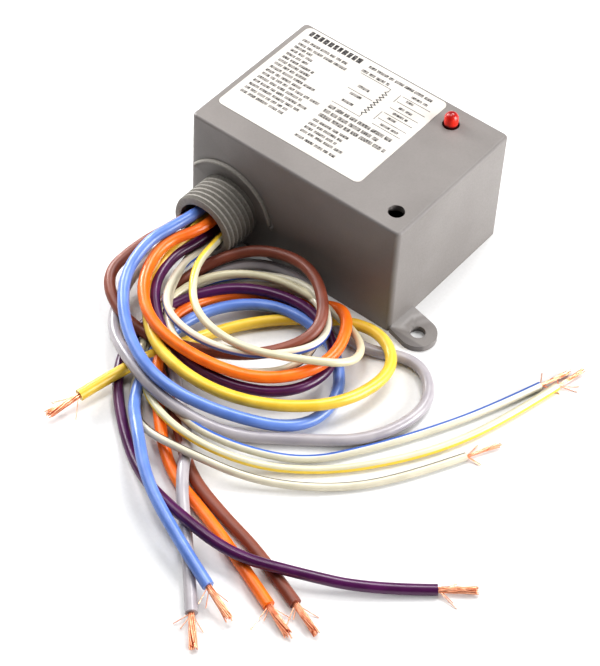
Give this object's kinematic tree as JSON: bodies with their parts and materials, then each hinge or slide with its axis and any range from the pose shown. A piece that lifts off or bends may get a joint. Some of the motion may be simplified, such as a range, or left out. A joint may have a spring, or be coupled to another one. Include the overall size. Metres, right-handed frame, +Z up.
{
  "type": "enclosed relay",
  "caption": "Double-pole power relay in a grey moulded box with a threaded conduit nipple, an indicator lamp, mounting ears and coiled loose leads.",
  "frame": {"origin": "centre of the box's bounding rectangle on the plane that the box lies on, its flush base plate and rim", "axes": "+Z up out of the base towards the labelled top, +X along the box's length towards the lamp end, -Y out of the conduit nipple"},
  "size_m": [0.1642, 0.1785, 0.045],
  "materials": {
    "housing": "fine-grained grey moulded plastic",
    "label": "white printed vinyl",
    "base": "grey moulded plastic",
    "board": "green glass-epoxy laminate",
    "lamp": "diffused red epoxy",
    "tinned": "tinned wire",
    "relay_base": "black moulded plastic",
    "relay_cover": "black moulded plastic",
    "steel": "zinc-plated soft iron",
    "bobbin": "natural glass-filled nylon",
    "winding": "enamelled copper wire",
    "spring_alloy": "phosphor bronze strip",
    "silver": "silver alloy",
    "terminal": "tinned brass strip",
    "black_moulding": "black epoxy",
    "resistor": "cement-coated body",
    "capacitor": "yellow plastic case",
    "varistor": "blue lacquered disc",
    "lead_coil": "PVC-insulated leads, loosely coiled",
    "copper": "bare stranded copper",
    "lead_blue": "PVC insulation",
    "lead_orange": "PVC insulation",
    "lead_purple": "PVC insulation",
    "lead_brown": "PVC insulation",
    "lead_yellow": "PVC insulation",
    "lead_grey": "PVC insulation",
    "lead_white_yellow": "white PVC insulation with a yellow stripe",
    "lead_white_blue": "white PVC insulation with a blue stripe",
    "lead_white_black": "white PVC insulation with a black stripe"
  },
  "bodies": {
    "housing": {"housing": "housing", "label": "label", "base_plate": "base", "pcb": "board", "led_lens": "lamp", "led_leads": "tinned", "relay_base": "relay_base", "relay_cover": "relay_cover", "yoke": "steel", "core": "steel", "bobbin": "bobbin", "coil_winding": "winding", "coil_pins": "tinned", "nc_contacts": "silver", "no_contacts": "silver", "common_terminal_1": "terminal", "common_terminal_2": "terminal", "no_terminal_1": "terminal", "no_terminal_2": "terminal", "nc_terminal_1": "terminal", "nc_terminal_2": "terminal", "return_spring": "spring_alloy", "bridge_rectifier": "black_moulding", "dropper_resistor": "resistor", "film_capacitor": "capacitor", "varistor": "varistor", "lead_coil": "lead_coil", "lead_blue": "lead_blue", "conductor_blue": "copper", "lead_orange": "lead_orange", "conductor_orange": "copper", "lead_purple": "lead_purple", "conductor_purple": "copper", "lead_brown": "lead_brown", "conductor_brown": "copper", "lead_yellow": "lead_yellow", "conductor_yellow": "copper", "lead_grey": "lead_grey", "conductor_grey": "copper", "lead_white_yellow": "lead_white_yellow", "conductor_white_yellow": "copper", "lead_white_blue": "lead_white_blue", "conductor_white_blue": "copper", "lead_white_black": "lead_white_black", "conductor_white_black": "copper"},
    "armature": {"armature": "steel", "arm_carrier": "bobbin", "contact_arm_1": "spring_alloy", "contact_arm_2": "spring_alloy", "moving_contacts": "silver"}
  },
  "joints": [
    {"name": "armature_hinge", "type": "hinge", "parent": "housing", "child": "armature", "pos_m": [0.0024, 0.0065, 0.025], "axis": [0, 1, 0], "range_deg": [0, 3.5], "stiffness_Nm_per_rad": 0.2, "springref_deg": -5.73}
  ]
}
